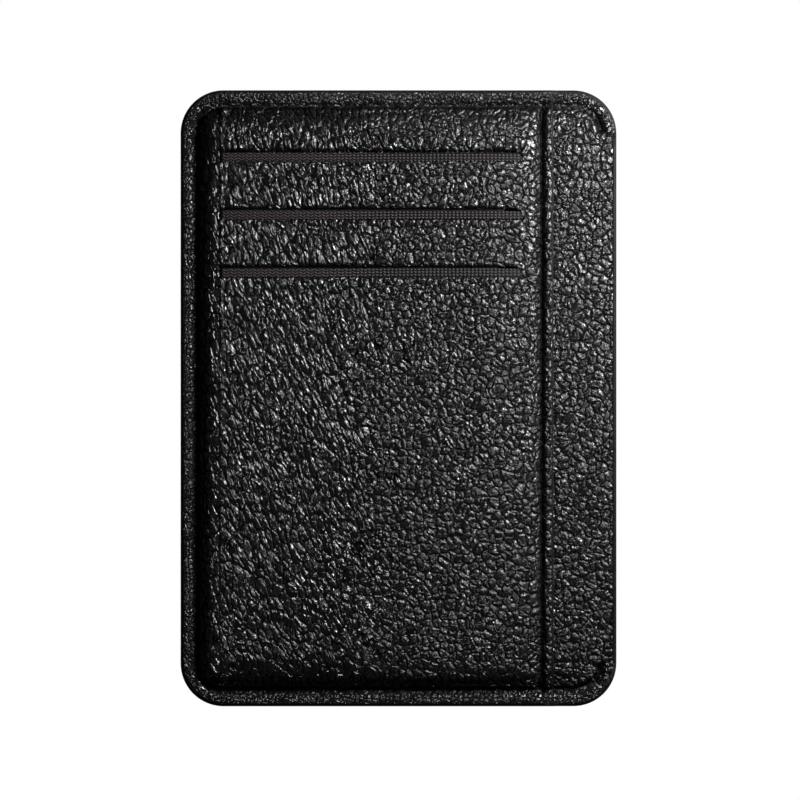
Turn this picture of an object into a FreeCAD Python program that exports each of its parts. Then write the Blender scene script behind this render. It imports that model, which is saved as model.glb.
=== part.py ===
"""Slim upright card holder: leather front and back leaves round a centre pocket, three card slots.

Frame: the holder lies on its back. +X goes to the open (unsewn) long edge, +Y to the top edge,
+Z out of the front face, and the origin is the middle of the back face. All sizes in millimetres.
"""
import FreeCAD, Part
import math
import os

V = FreeCAD.Vector

# Overall outline
WIDTH = 81.0                 # sewn edge to open edge
HEIGHT = 114.5               # bottom edge to top edge
CORNER_R = 8.0               # outer corners

# Sheet thicknesses
LEATHER_T = 0.8              # each of the three leather panels
STIFFENER_T = 0.2            # bonded fibre board
LINING_T = 0.15              # woven lining of the centre pocket
POCKET_FABRIC_T = 0.12       # front wall of each card pocket
RIBBON_T = 0.25              # grosgrain ribbon at each slot
EDGE_PAINT_T = 0.15          # edge paint, measured outwards

# Room left between the sheets of the empty holder
CENTRE_GAP = 0.5             # centre pocket, for folded notes
CARD_GAP = 0.3               # each card pocket, which gives to take a card

# Card slots
CARD_WIDTH = 54.0            # short side of a standard card
CARD_SIDE_ROOM = 1.2         # slot length beyond the card, each side
SLOT_TOP_INSET = 11.25       # top edge to the upper slot's top lip
SLOT_PITCH = 10.75
SLOT_HEIGHT = 2.1
SLOT_LEFT_INSET = 7.3        # sewn edge to the slots' left ends
SLOT_MOUTH = 0.45            # open part of a slot above its ribbon
SLOT_NAMES = ("upper", "middle", "lower")
RIBBON_END_LAP = 1.2         # ribbon hidden beyond each end of the slot
RIBBON_WIDTH = 7.0
POCKET_FOOT_ROOM = 0.25      # foot of the lower pocket above the bottom slope
RISER_RUN = 4.0              # length over which the pocket wall climbs to its ribbon

# Panel shape: a flat rim all round, then a slope up to the raised middle
RIM_WIDTH = 4.5
LEFT_SLOPE = 4.4
END_SLOPE = 5.0              # at the top and the bottom
SEAM_SIDE_SLOPE = 8.0        # down to the seam beside the slots
STIFFENER_INSET = 0.5        # board edge inside the raised middle, and inside the open edge

# Seams
SEAM_INSET = 3.05            # outer edge to the middle of the perimeter seam
SEAM_PITCH = 3.43
PANEL_SEAM_PITCH = 4.05
PANEL_SEAM_ROOM = 3.3        # right ends of the slots to the seam beside them
PANEL_EDGE_ROOM = 2.3        # that seam to the slot panel's own edge
SEAM_FOOT = 2.0              # flat landing of the slot panel on the slots' side of that seam
GROOVE_WIDTH = 0.9
GROOVE_DEPTH = 0.4
THREAD_WIDTH = 0.5
FRONT_THREAD_T = 0.3
BACK_THREAD_T = 0.2
STITCH_SHARE = 0.78          # length of a visible stitch as a share of the pitch

# Places that follow from the sizes above
RIGHT = WIDTH / 2
LEFT = -RIGHT
TOP = HEIGHT / 2
SLOT_LEFT = LEFT + SLOT_LEFT_INSET
SLOT_LENGTH = CARD_WIDTH + 2 * CARD_SIDE_ROOM
SLOT_RIGHT = SLOT_LEFT + SLOT_LENGTH
SLOT_TOPS = [TOP - SLOT_TOP_INSET - i * SLOT_PITCH for i in range(len(SLOT_NAMES))]
PANEL_SEAM_X = SLOT_RIGHT + PANEL_SEAM_ROOM
PANEL_EDGE_X = PANEL_SEAM_X + PANEL_EDGE_ROOM
SEAM_END_Y = TOP - CORNER_R                # the perimeter seam stops where the open edge straightens
MIDDLE_LEFT = LEFT + RIM_WIDTH + LEFT_SLOPE
MIDDLE_TOP = TOP - RIM_WIDTH - END_SLOPE
DOME_RIGHT = PANEL_SEAM_X - SEAM_FOOT
POCKET_DEPTH = SLOT_TOPS[-1] + MIDDLE_TOP - POCKET_FOOT_ROOM
PAST = 10.0                  # how far a working solid runs past the holder

# Heights of the sheets' undersides, at the rim and in the raised middle
RIM_BACK_LINING = LEATHER_T
RIM_INNER_LINING = RIM_BACK_LINING + LINING_T
RIM_BASE = RIM_INNER_LINING + LINING_T
RIM_SLOT_PANEL = RIM_BASE + LEATHER_T
MID_BACK_LINING = LEATHER_T + STIFFENER_T
MID_INNER_LINING = MID_BACK_LINING + LINING_T + CENTRE_GAP
MID_FRONT_STIFFENER = MID_INNER_LINING + LINING_T
MID_BASE = MID_FRONT_STIFFENER + STIFFENER_T
MID_BASE_TOP = MID_BASE + LEATHER_T
POCKET_LEVELS = [MID_BASE_TOP + CARD_GAP + i * (POCKET_FABRIC_T + CARD_GAP)
                 for i in range(len(SLOT_NAMES))]
RIBBON_LEVEL = POCKET_LEVELS[-1] + POCKET_FABRIC_T
DOME_LEVEL = RIBBON_LEVEL + RIBBON_T


def box(x0, x1, y0, y1, z0, z1):
    """A box between two corners."""
    return Part.makeBox(x1 - x0, y1 - y0, z1 - z0, V(x0, y0, z0))


def raised(shape, dz):
    """A copy of a shape, moved up by dz."""
    copy = shape.copy()
    copy.translate(V(0, 0, dz))
    return copy


def rectangle_wire(x0, x1, y0, y1, z):
    """A closed rectangle at one height."""
    corners = [V(x0, y0, z), V(x1, y0, z), V(x1, y1, z), V(x0, y1, z)]
    return Part.makePolygon(corners + corners[:1])


def outline_prism(inset, z0, z1):
    """The holder's rounded outline, drawn in by an inset, as a prism."""
    x = RIGHT - inset
    y = TOP - inset
    prism = box(-x, x, -y, y, z0, z1)
    upright = [e for e in prism.Edges if abs(e.Vertexes[0].Z - e.Vertexes[1].Z) > (z1 - z0) / 2]
    return prism.makeFillet(CORNER_R - inset, upright)


def mound(foot, crown, foot_z, crown_z):
    """Everything below a raised rectangle: straight slopes from the foot rectangle to the crown."""
    slopes = Part.makeLoft([rectangle_wire(*foot, foot_z), rectangle_wire(*crown, crown_z)], True, True)
    x0, x1, y0, y1 = foot
    return box(x0, x1, y0, y1, foot_z - PAST, foot_z).fuse(slopes)


def space_below(rim_z, middle_z):
    """Everything below a sheet that lies flat on the rim and is raised in the middle.

    The raised middle runs out through the open edge, so the sheet is straight there.
    """
    foot = (LEFT + RIM_WIDTH, RIGHT + PAST, RIM_WIDTH - TOP, TOP - RIM_WIDTH)
    crown = (MIDDLE_LEFT, RIGHT + PAST, -MIDDLE_TOP, MIDDLE_TOP)
    rim = box(LEFT - PAST, RIGHT + PAST, -TOP - PAST, TOP + PAST, -PAST, rim_z)
    return rim.fuse(mound(foot, crown, rim_z, middle_z)).removeSplitter()


def space_below_slot_panel():
    """Everything below the slot panel: it lies on the base panel and domes up over the cards."""
    foot = (LEFT + RIM_WIDTH, DOME_RIGHT, RIM_WIDTH - TOP, TOP - RIM_WIDTH)
    crown = (MIDDLE_LEFT, DOME_RIGHT - SEAM_SIDE_SLOPE, -MIDDLE_TOP, MIDDLE_TOP)
    dome = mound(foot, crown, RIM_SLOT_PANEL, DOME_LEVEL)
    return space_below(RIM_SLOT_PANEL, MID_BASE_TOP).fuse(dome).removeSplitter()


def layer(space, z0, z1):
    """The layer that follows a sheet's shape, from z0 to z1 above the top of the space below it."""
    return raised(space, z1).cut(raised(space, z0))


def seam_ring(width):
    """The strip along the perimeter seam, from one end by the open edge round to the other."""
    ring = outline_prism(SEAM_INSET - width / 2, -PAST, PAST)
    ring = ring.cut(outline_prism(SEAM_INSET + width / 2, -2 * PAST, 2 * PAST))
    unsewn = box(PANEL_EDGE_X, RIGHT + PAST, -SEAM_END_Y, SEAM_END_Y, -PAST, PAST)
    return ring.cut(unsewn)


def panel_seam_strip(width):
    """The strip along the seam beside the slots, between the two runs of the perimeter seam."""
    half = width / 2
    end = TOP - SEAM_INSET
    return box(PANEL_SEAM_X - half, PANEL_SEAM_X + half, -end, end, -PAST, PAST)


def perimeter_seam_path():
    """The perimeter seam as runs of (start, heading, length, radius), in order along the seam."""
    x = RIGHT - SEAM_INSET
    y = TOP - SEAM_INSET
    radius = CORNER_R - SEAM_INSET
    quarter = radius * math.pi / 2
    along_x = 2 * (x - radius)
    along_y = 2 * (y - radius)
    return [
        (V(x, y - radius, 0), 90, quarter, radius),
        (V(x - radius, y, 0), 180, along_x, 0),
        (V(radius - x, y, 0), 180, quarter, radius),
        (V(-x, y - radius, 0), 270, along_y, 0),
        (V(-x, radius - y, 0), 270, quarter, radius),
        (V(radius - x, -y, 0), 0, along_x, 0),
        (V(x - radius, -y, 0), 0, quarter, radius),
    ]


def point_on_path(path, distance):
    """The point and the heading in degrees at a distance along the perimeter seam."""
    for start, heading, length, radius in path:
        if distance <= length:
            break
        distance -= length
    h = math.radians(heading)
    if radius == 0:
        return start + V(math.cos(h), math.sin(h), 0) * distance, heading
    centre = start + V(-math.sin(h), math.cos(h), 0) * radius
    turn = distance / radius
    point = centre + V(math.sin(h + turn), -math.cos(h + turn), 0) * radius
    return point, heading + math.degrees(turn)


def stitch(point, heading, pitch):
    """A tall bar over one stitch, to be trimmed to the thread's layer."""
    length = pitch * STITCH_SHARE
    bar = box(-length / 2, length / 2, -THREAD_WIDTH / 2, THREAD_WIDTH / 2, -PAST, PAST)
    bar.rotate(V(0, 0, 0), V(0, 0, 1), heading)
    bar.translate(point)
    return bar


def perimeter_stitches():
    """One bar for every stitch of the perimeter seam, evenly spaced from end to end."""
    path = perimeter_seam_path()
    total = sum(length for _, _, length, _ in path)
    count = round(total / SEAM_PITCH)
    pitch = total / count
    return [stitch(*point_on_path(path, (i + 0.5) * pitch), pitch) for i in range(count)]


def panel_seam_stitches(half_length):
    """One bar for every stitch of the seam beside the slots."""
    count = round(2 * half_length / PANEL_SEAM_PITCH)
    pitch = 2 * half_length / count
    return [stitch(V(PANEL_SEAM_X, -half_length + (i + 0.5) * pitch, 0), 90, pitch) for i in range(count)]


def trimmed(bars, thread_layer):
    """Every bar trimmed to the thread's layer, as a group of separate solids."""
    solids = [solid for bar in bars for solid in bar.common(thread_layer).Solids]
    return Part.makeCompound(solids)


def slot_opening(top):
    """One slot: square at the left end and rounded at the right end."""
    radius = SLOT_HEIGHT / 2
    opening = box(SLOT_LEFT, SLOT_RIGHT - radius, top - SLOT_HEIGHT, top, 0, PAST)
    end = Part.makeCylinder(radius, PAST, V(SLOT_RIGHT - radius, top - radius, 0))
    return opening.fuse(end).removeSplitter()


def back_panel(body):
    """Flat back leather, with a groove for the thread of the perimeter seam."""
    sheet = body.common(box(LEFT, RIGHT, -TOP, TOP, 0, LEATHER_T))
    groove = seam_ring(GROOVE_WIDTH).common(box(LEFT, RIGHT, -TOP, TOP, 0, GROOVE_DEPTH))
    return sheet.cut(groove)


def stiffener(underside):
    """A board in the raised middle, set in from the slopes and from the open edge."""
    x0 = MIDDLE_LEFT + STIFFENER_INSET
    x1 = RIGHT - EDGE_PAINT_T - STIFFENER_INSET
    y = MIDDLE_TOP - STIFFENER_INSET
    return box(x0, x1, -y, y, underside, underside + STIFFENER_T)


def base_panel(body, below):
    """Front leather that carries the slot panel and shows beside it as a plain strip."""
    sheet = body.common(layer(below, 0, LEATHER_T))
    uncovered = box(PANEL_EDGE_X, RIGHT, -TOP, TOP, 0, PAST)
    groove = seam_ring(GROOVE_WIDTH).common(layer(below, LEATHER_T - GROOVE_DEPTH, LEATHER_T))
    return sheet.cut(groove.common(uncovered))


def slot_panel(body, below):
    """Front leather with the three slots and the grooves of both seams."""
    cover = box(LEFT, PANEL_EDGE_X - EDGE_PAINT_T, -TOP, TOP, 0, PAST)
    sheet = body.common(cover).common(layer(below, 0, LEATHER_T))
    seams = seam_ring(GROOVE_WIDTH).fuse(panel_seam_strip(GROOVE_WIDTH))
    sheet = sheet.cut(seams.common(layer(below, LEATHER_T - GROOVE_DEPTH, LEATHER_T)))
    for top in SLOT_TOPS:
        sheet = sheet.cut(slot_opening(top))
    return sheet


def slot_ribbon(top, below, below_base):
    """Ribbon glued behind the lower lip of a slot, its ends thinning out onto the base panel."""
    x0 = SLOT_LEFT - RIBBON_END_LAP
    x1 = SLOT_RIGHT + RIBBON_END_LAP
    y1 = top - SLOT_MOUTH
    strip = layer(below, -RIBBON_T, 0).common(box(x0, x1, y1 - RIBBON_WIDTH, y1, 0, PAST))
    return strip.cut(raised(below_base, LEATHER_T))


def slot_pocket(index, below):
    """Fabric front wall of one card pocket, sewn to the base at its foot and held by its ribbon."""
    level = POCKET_LEVELS[index]
    top = SLOT_TOPS[index]
    y_foot = top - POCKET_DEPTH
    y_head = top - SLOT_MOUTH
    y_riser = y_head - RIBBON_WIDTH / 2
    t = POCKET_FABRIC_T
    x0 = MIDDLE_LEFT - LEFT_SLOPE
    profile = [
        V(x0, y_foot, MID_BASE_TOP), V(x0, y_foot + t, MID_BASE_TOP), V(x0, y_foot + t, level),
        V(x0, y_riser - RISER_RUN, level), V(x0, y_riser, RIBBON_LEVEL - t), V(x0, y_head, RIBBON_LEVEL - t),
        V(x0, y_head, RIBBON_LEVEL), V(x0, y_riser, RIBBON_LEVEL), V(x0, y_riser - RISER_RUN, level + t),
        V(x0, y_foot, level + t),
    ]
    wall = Part.Face(Part.makePolygon(profile + profile[:1])).extrude(V(DOME_RIGHT - x0, 0, 0))
    return wall.common(raised(below, -RIBBON_T))


def sewn_edge_paint(below_base, below_slot_panel):
    """Paint over the closed edge of the whole stack, round to both ends of the seam."""
    ring = outline_prism(0, 0, PAST).cut(outline_prism(EDGE_PAINT_T, -PAST, 2 * PAST))
    mouth = box(PANEL_EDGE_X, RIGHT + PAST, -SEAM_END_Y, SEAM_END_Y, -PAST, 2 * PAST)
    ring = ring.cut(mouth)
    covered = box(LEFT, PANEL_EDGE_X, -TOP, TOP, 0, PAST)
    over_slot_panel = ring.common(covered).common(raised(below_slot_panel, LEATHER_T))
    over_base = ring.cut(covered).common(raised(below_base, LEATHER_T))
    return over_slot_panel.fuse(over_base).removeSplitter()


def mouth_edge_paint(space):
    """Paint along one leaf's edge at the mouth of the centre pocket."""
    strip = box(RIGHT - EDGE_PAINT_T, RIGHT, -SEAM_END_Y, SEAM_END_Y, 0, PAST)
    return strip.common(space)


def slot_panel_edge_paint(below, body):
    """Paint along the slot panel's own edge, beside the plain strip."""
    strip = box(PANEL_EDGE_X - EDGE_PAINT_T, PANEL_EDGE_X, -TOP, TOP, 0, PAST)
    return strip.common(body).common(layer(below, 0, LEATHER_T))


def perimeter_front_thread(below_base, below_slot_panel):
    """Needle thread of the perimeter seam, lying in the grooves of the front."""
    floor = LEATHER_T - GROOVE_DEPTH
    covered = box(LEFT, PANEL_EDGE_X - EDGE_PAINT_T, -TOP, TOP, 0, PAST)
    uncovered = box(PANEL_EDGE_X, RIGHT, -TOP, TOP, 0, PAST)
    on_slot_panel = layer(below_slot_panel, floor, floor + FRONT_THREAD_T).common(covered)
    on_base = layer(below_base, floor, floor + FRONT_THREAD_T).common(uncovered)
    return trimmed(perimeter_stitches(), Part.makeCompound([on_slot_panel, on_base]))


def write(name, shape):
    """Write one piece to its STEP file and report its solids and volume."""
    shape.exportStep("parts/" + name + ".step")
    print("%-28s %3d solids %9.2f mm3 valid %s" % (name, len(shape.Solids), shape.Volume, shape.isValid()))


def main():
    """Build and write every piece, from the back of the holder to the front."""
    os.makedirs("parts", exist_ok=True)
    body = outline_prism(EDGE_PAINT_T, -PAST, PAST)
    below_back_lining = space_below(RIM_BACK_LINING, MID_BACK_LINING)
    below_inner_lining = space_below(RIM_INNER_LINING, MID_INNER_LINING)
    below_base = space_below(RIM_BASE, MID_BASE)
    below_slot_panel = space_below_slot_panel()

    write("back_panel", back_panel(body))
    write("back_stiffener", stiffener(LEATHER_T))
    write("back_lining", body.common(layer(below_back_lining, 0, LINING_T)))
    write("inner_lining", body.common(layer(below_inner_lining, 0, LINING_T)))
    write("front_stiffener", stiffener(MID_FRONT_STIFFENER))
    write("base_panel", base_panel(body, below_base))
    for index, name in enumerate(SLOT_NAMES):
        write("slot_pocket_" + name, slot_pocket(index, below_slot_panel))
        write("slot_ribbon_" + name, slot_ribbon(SLOT_TOPS[index], below_slot_panel, below_base))
    write("slot_panel", slot_panel(body, below_slot_panel))

    back_leaf = box(LEFT, RIGHT, -TOP, TOP, 0, PAST).common(raised(below_back_lining, LINING_T))
    write("sewn_edge_paint", sewn_edge_paint(below_base, below_slot_panel))
    write("mouth_edge_paint_back", mouth_edge_paint(back_leaf))
    write("mouth_edge_paint_front", mouth_edge_paint(raised(below_base, LEATHER_T).cut(below_inner_lining)))
    write("slot_panel_edge_paint", slot_panel_edge_paint(below_slot_panel, body))

    back_layer = box(LEFT, RIGHT, -TOP, TOP, GROOVE_DEPTH - FRONT_THREAD_T, GROOVE_DEPTH)
    floor = LEATHER_T - GROOVE_DEPTH
    seam_layer = layer(below_slot_panel, floor, floor + FRONT_THREAD_T)
    inner_layer = layer(below_inner_lining, -BACK_THREAD_T, 0)
    write("perimeter_front_thread", perimeter_front_thread(below_base, below_slot_panel))
    write("perimeter_back_thread", trimmed(perimeter_stitches(), back_layer))
    write("panel_seam_front_thread", trimmed(panel_seam_stitches(TOP - SEAM_INSET - GROOVE_WIDTH), seam_layer))
    write("panel_seam_back_thread", trimmed(panel_seam_stitches(MIDDLE_TOP), inner_layer))


main()
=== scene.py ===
"""Looks of a slim upright card holder in black pebbled leather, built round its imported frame.

Each leather panel, ribbon, painted edge and row of stitches is a mesh of its own, made from the
frame's sizes. Lengths are in metres; MM turns a size in millimetres into metres.
"""

import logging
import math
from collections.abc import Callable
from dataclasses import dataclass, field
from enum import Enum
from typing import Union

import bmesh
import bpy
import numpy as np
from mathutils import Matrix, Vector


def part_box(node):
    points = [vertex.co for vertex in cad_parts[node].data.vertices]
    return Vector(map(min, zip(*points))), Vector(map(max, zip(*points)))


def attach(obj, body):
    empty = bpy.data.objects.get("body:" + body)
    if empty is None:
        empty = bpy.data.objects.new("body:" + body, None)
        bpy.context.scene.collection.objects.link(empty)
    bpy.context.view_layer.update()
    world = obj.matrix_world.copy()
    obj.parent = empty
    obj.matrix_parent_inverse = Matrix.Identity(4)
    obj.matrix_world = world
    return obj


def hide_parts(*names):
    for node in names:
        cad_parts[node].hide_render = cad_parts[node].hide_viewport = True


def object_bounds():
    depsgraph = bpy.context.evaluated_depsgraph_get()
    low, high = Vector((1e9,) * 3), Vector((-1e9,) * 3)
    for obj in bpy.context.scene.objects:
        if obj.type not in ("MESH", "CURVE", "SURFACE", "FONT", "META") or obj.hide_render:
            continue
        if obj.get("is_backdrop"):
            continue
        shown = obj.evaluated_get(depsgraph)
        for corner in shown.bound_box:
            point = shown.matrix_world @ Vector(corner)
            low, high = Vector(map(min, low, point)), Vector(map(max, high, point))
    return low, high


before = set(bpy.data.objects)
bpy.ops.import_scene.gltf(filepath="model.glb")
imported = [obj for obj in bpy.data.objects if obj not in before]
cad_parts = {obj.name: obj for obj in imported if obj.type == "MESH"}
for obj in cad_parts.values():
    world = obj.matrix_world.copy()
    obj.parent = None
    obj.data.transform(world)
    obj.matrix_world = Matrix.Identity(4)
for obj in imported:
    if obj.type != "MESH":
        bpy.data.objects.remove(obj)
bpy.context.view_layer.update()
LOG = logging.getLogger("card_holder")
MM = 0.001
BODY = "root"
WHITE = (1.0, 1.0, 1.0, 1.0)
TINY = 1e-9

Surface = Callable[[np.ndarray, np.ndarray], np.ndarray]
Value = Union[bpy.types.NodeSocket, float, tuple]
StitchPlace = tuple[float, float, float, float]


# ---------------------------------------------------------------- sizes and surface shapes

@dataclass(frozen=True)
class Slot:
    """One card slot: its ends and its two lips, in the holder's frame."""

    name: str
    left: float
    right: float
    low: float
    high: float


@dataclass(frozen=True)
class HolderSizes:
    """Places that the looks are fitted to, read from the frame, with the sizes of a maker's details."""

    corner_radius: float = 8.0 * MM
    leather: float = 0.8 * MM
    slot_height: float = 2.1 * MM
    slot_length: float = 56.4 * MM
    mouth: float = 0.45 * MM
    ribbon_lap: float = 1.2 * MM
    half_width: float = field(init=False)
    half_height: float = field(init=False)
    seam_inset: float = field(init=False)
    panel_edge: float = field(init=False)
    panel_seam: float = field(init=False)
    rim_top: float = field(init=False)
    strip_top: float = field(init=False)
    dome_top: float = field(init=False)
    slots: tuple = field(init=False)

    def __post_init__(self) -> None:
        """Read the remaining places from the frame's nodes."""
        low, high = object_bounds()
        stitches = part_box("perimeter_back_thread")[0]
        thread_half = 0.25 * MM
        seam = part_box("panel_seam_front_thread")
        slots = []
        for name in ("upper", "middle", "lower"):
            start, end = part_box("slot_ribbon_" + name)
            top = end[1] + self.mouth
            left = start[0] + self.ribbon_lap
            slots.append(Slot(name, left, left + self.slot_length, top - self.slot_height, top))
        values = {
            "half_width": (high[0] - low[0]) / 2,
            "half_height": (high[1] - low[1]) / 2,
            "seam_inset": stitches[0] - low[0] + thread_half,
            "panel_edge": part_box("slot_panel_edge_paint")[1][0],
            "panel_seam": (seam[0][0] + seam[1][0]) / 2,
            "rim_top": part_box("sewn_edge_paint")[1][2],
            "strip_top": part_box("base_panel")[1][2],
            "dome_top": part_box("slot_panel")[1][2],
            "slots": tuple(slots),
        }
        for key, value in values.items():
            object.__setattr__(self, key, value)

    @property
    def seam_end(self) -> float:
        """Height up the open edge at which the perimeter seam stops."""
        return self.half_height - self.corner_radius


def ease(a: np.ndarray) -> np.ndarray:
    """Smooth step from 0 to 1, flat at both ends."""
    a = np.clip(a, 0.0, 1.0)
    return a * a * (3 - 2 * a)


def round_over(a: np.ndarray, power: float) -> np.ndarray:
    """Rise from 0 to 1 that starts steeply and levels off, like leather drawn over padding."""
    return 1 - (1 - np.clip(a, 0.0, 1.0)) ** power


def ridge(t: np.ndarray, width: float) -> np.ndarray:
    """Bell-shaped ridge of height 1 round t = 0."""
    return np.exp(-(t / width) ** 2)


class Outline:
    """The rounded rectangle that the holder is cut to, and the seam that follows it."""

    def __init__(self, sizes: HolderSizes) -> None:
        """Keep the half sizes and the centres of the corner arcs.

        Args:
            sizes: The holder's sizes.
        """
        self.s = sizes
        self.cx = sizes.half_width - sizes.corner_radius
        self.cy = sizes.half_height - sizes.corner_radius
        self.seam_radius = sizes.corner_radius - sizes.seam_inset

    def inset(self, x: np.ndarray, y: np.ndarray) -> np.ndarray:
        """Distance inwards from the outline.

        Args:
            x: Places across the holder.
            y: Places up the holder.

        Returns:
            The distance from the nearest point of the outline, positive inside.
        """
        qx = np.abs(x) - self.cx
        qy = np.abs(y) - self.cy
        corner = (qx > 0) & (qy > 0)
        return self.s.corner_radius - np.where(corner, np.hypot(qx, qy), np.maximum(qx, qy))

    def along(self, x: np.ndarray, y: np.ndarray) -> np.ndarray:
        """Distance along the perimeter seam, from its upper end on the open edge.

        Args:
            x: Places across the holder.
            y: Places up the holder.

        Returns:
            The arc length at the nearest point of the seam.
        """
        r, cx, cy = self.seam_radius, self.cx, self.cy
        quarter = r * math.pi / 2
        side, flank = 2 * cx, 2 * cy
        by_top = (self.s.half_height - np.abs(y)) < (self.s.half_width - np.abs(x))
        right, left, up = x > cx, x < -cx, y > 0
        corner = (np.abs(x) > cx) & (np.abs(y) > cy)
        turn = np.arctan2(np.abs(y) - cy, np.maximum(np.abs(x) - cx, TINY))
        result = np.where(up, quarter + cx - x, 3 * quarter + side + flank + cx + x)
        result = np.where(by_top, result, 2 * quarter + side + cy - y)
        result = np.where(corner & right & up, r * turn, result)
        result = np.where(corner & left & up, quarter + side + quarter - r * turn, result)
        result = np.where(corner & left & ~up, 2 * quarter + side + flank + r * turn, result)
        return np.where(corner & right & ~up, 4 * quarter + 2 * side + flank - r * turn, result)

    def seam_length(self) -> float:
        """Whole length of the perimeter seam."""
        return 2 * math.pi * self.seam_radius + 4 * self.cx + 2 * self.cy

    def seam_point(self, distance: float) -> tuple[float, float, float]:
        """Place and heading at a distance along the perimeter seam.

        Args:
            distance: Arc length from the seam's upper end on the open edge.

        Returns:
            x, y and the heading in radians.
        """
        r, cx, cy = self.seam_radius, self.cx, self.cy
        quarter = r * math.pi / 2
        runs = [
            (quarter, cx, cy, 0.0), (2 * cx, cx, cy + r, math.pi), (quarter, -cx, cy, math.pi / 2),
            (2 * cy, -cx - r, cy, -math.pi / 2), (quarter, -cx, -cy, math.pi),
            (2 * cx, -cx, -cy - r, 0.0), (quarter, cx, -cy, -math.pi / 2),
        ]
        for index, (length, x, y, angle) in enumerate(runs):
            if distance <= length or index == len(runs) - 1:
                break
            distance -= length
        if index % 2:
            return x + distance * math.cos(angle), y + distance * math.sin(angle), angle
        turn = angle + distance / r
        return x + r * math.cos(turn), y + r * math.sin(turn), turn + math.pi / 2

    def sewn(self, x: np.ndarray, y: np.ndarray) -> np.ndarray:
        """1 where the perimeter seam runs, falling to 0 along the open edge."""
        open_edge = ease((x - self.s.panel_edge) / (1.0 * MM))
        return 1 - open_edge * ease((self.s.seam_end + 0.5 * MM - np.abs(y)) / (0.8 * MM))


@dataclass(frozen=True)
class SeamForm:
    """How a sewn seam pulls the leather in: a groove, deeper holes and puckers between them."""

    pitch: float
    width: float = 0.46 * MM
    outer_width: float = 0.78 * MM
    depth: float = 0.80 * MM
    hole_depth: float = 0.22 * MM
    hole_width: float = 0.36 * MM
    pucker: float = 0.05 * MM
    pucker_place: float = 0.85 * MM
    pucker_width: float = 0.5 * MM

    def height(self, t: np.ndarray, run: np.ndarray) -> np.ndarray:
        """Height of the leather near the seam.

        Args:
            t: Distance across the seam from its middle.
            run: Distance along the seam.

        Returns:
            The height that the seam adds, mostly negative.
        """
        phase = run / self.pitch
        wander = 0.07 * np.sin(run / (0.37 * MM)) + 0.06 * np.sin(run / (0.213 * MM) + 1.0)
        t = t + wander * MM
        to_hole = np.abs(phase - np.round(phase)) * self.pitch
        across = ridge(t, np.where(t < 0, self.outer_width, self.width))
        groove = -self.depth * across
        holes = -self.hole_depth * across * ridge(to_hole, self.hole_width)
        swell = 0.5 - 0.5 * np.cos(2 * np.pi * phase)
        beside = ridge(np.abs(t) - self.pucker_place, self.pucker_width)
        return groove + holes + self.pucker * swell * beside


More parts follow.
